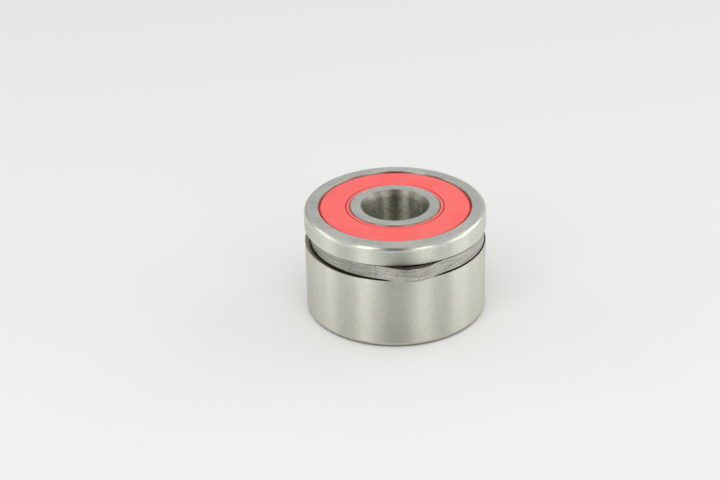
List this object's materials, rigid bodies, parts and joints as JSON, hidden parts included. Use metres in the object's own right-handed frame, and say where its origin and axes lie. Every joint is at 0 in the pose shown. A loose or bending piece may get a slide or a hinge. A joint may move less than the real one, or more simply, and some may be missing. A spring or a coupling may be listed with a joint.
{
  "type": "ball bearing",
  "caption": "Wide sealed deep-groove ball bearing with red rubber seals and a sprung locking ring that bulges out of an eccentric groove in the outer ring.",
  "frame": {"origin": "centre of the bearing: on its axis, at half its width", "axes": "+Z along the axis, towards the face beside the locking groove; the hump of the locking ring lies near -Y, turned a little towards +X"},
  "size_m": [0.023, 0.0238, 0.014],
  "materials": {
    "ring_steel": "ground",
    "spring_steel": "rolled, scratched",
    "ball_steel": "polished",
    "cage_steel": "pressed",
    "core_steel": "pressed",
    "seal_rubber": "smooth moulded"
  },
  "bodies": {
    "outer": {"outer_ring": "ring_steel", "upper_seal_rubber": "seal_rubber", "upper_seal_core": "core_steel", "lower_seal_rubber": "seal_rubber", "lower_seal_core": "core_steel"},
    "inner": {"inner_ring": "ring_steel"},
    "locking": {"locking_ring": "spring_steel"},
    "cage": {"upper_cage_half": "cage_steel", "lower_cage_half": "cage_steel", "cage_rivet_1": "cage_steel", "cage_rivet_2": "cage_steel", "cage_rivet_3": "cage_steel", "cage_rivet_4": "cage_steel", "cage_rivet_5": "cage_steel", "cage_rivet_6": "cage_steel", "cage_rivet_7": "cage_steel"},
    "rolling_ball_1": {"ball_1": "ball_steel"},
    "rolling_ball_2": {"ball_2": "ball_steel"},
    "rolling_ball_3": {"ball_3": "ball_steel"},
    "rolling_ball_4": {"ball_4": "ball_steel"},
    "rolling_ball_5": {"ball_5": "ball_steel"},
    "rolling_ball_6": {"ball_6": "ball_steel"},
    "rolling_ball_7": {"ball_7": "ball_steel"}
  },
  "joints": [
    {"name": "inner_ring_spin", "type": "hinge", "parent": "outer", "child": "inner", "pos_m": [0, 0, 0], "axis": [0, 0, 1], "continuous": true},
    {"name": "cage_spin", "type": "hinge", "parent": "outer", "child": "cage", "pos_m": [0, 0, 0], "axis": [0, 0, 1], "continuous": true},
    {"name": "locking_ring_slide_round", "type": "hinge", "parent": "outer", "child": "locking", "pos_m": [0.00026, -0.00042, 0.00359], "axis": [0, 0, 1], "continuous": true},
    {"name": "ball_1_spin", "type": "hinge", "parent": "cage", "child": "rolling_ball_1", "pos_m": [0, -0.00761, 0], "axis": [0, 0, 1], "continuous": true},
    {"name": "ball_2_spin", "type": "hinge", "parent": "cage", "child": "rolling_ball_2", "pos_m": [0.00595, -0.00474, 0], "axis": [0, 0, 1], "continuous": true},
    {"name": "ball_3_spin", "type": "hinge", "parent": "cage", "child": "rolling_ball_3", "pos_m": [0.00742, 0.00169, 0], "axis": [0, 0, 1], "continuous": true},
    {"name": "ball_4_spin", "type": "hinge", "parent": "cage", "child": "rolling_ball_4", "pos_m": [0.0033, 0.00686, 0], "axis": [0, 0, 1], "continuous": true},
    {"name": "ball_5_spin", "type": "hinge", "parent": "cage", "child": "rolling_ball_5", "pos_m": [-0.0033, 0.00686, 0], "axis": [0, 0, 1], "continuous": true},
    {"name": "ball_6_spin", "type": "hinge", "parent": "cage", "child": "rolling_ball_6", "pos_m": [-0.00742, 0.00169, 0], "axis": [0, 0, 1], "continuous": true},
    {"name": "ball_7_spin", "type": "hinge", "parent": "cage", "child": "rolling_ball_7", "pos_m": [-0.00595, -0.00474, 0], "axis": [0, 0, 1], "continuous": true}
  ],
  "couplings": [
    {"joint": "cage_spin", "follows": "inner_ring_spin", "ratio": 0.36958},
    {"joint": "ball_1_spin", "follows": "inner_ring_spin", "ratio": -1.7865},
    {"joint": "ball_2_spin", "follows": "inner_ring_spin", "ratio": -1.7865},
    {"joint": "ball_3_spin", "follows": "inner_ring_spin", "ratio": -1.7865},
    {"joint": "ball_4_spin", "follows": "inner_ring_spin", "ratio": -1.7865},
    {"joint": "ball_5_spin", "follows": "inner_ring_spin", "ratio": -1.7865},
    {"joint": "ball_6_spin", "follows": "inner_ring_spin", "ratio": -1.7865},
    {"joint": "ball_7_spin", "follows": "inner_ring_spin", "ratio": -1.7865}
  ]
}
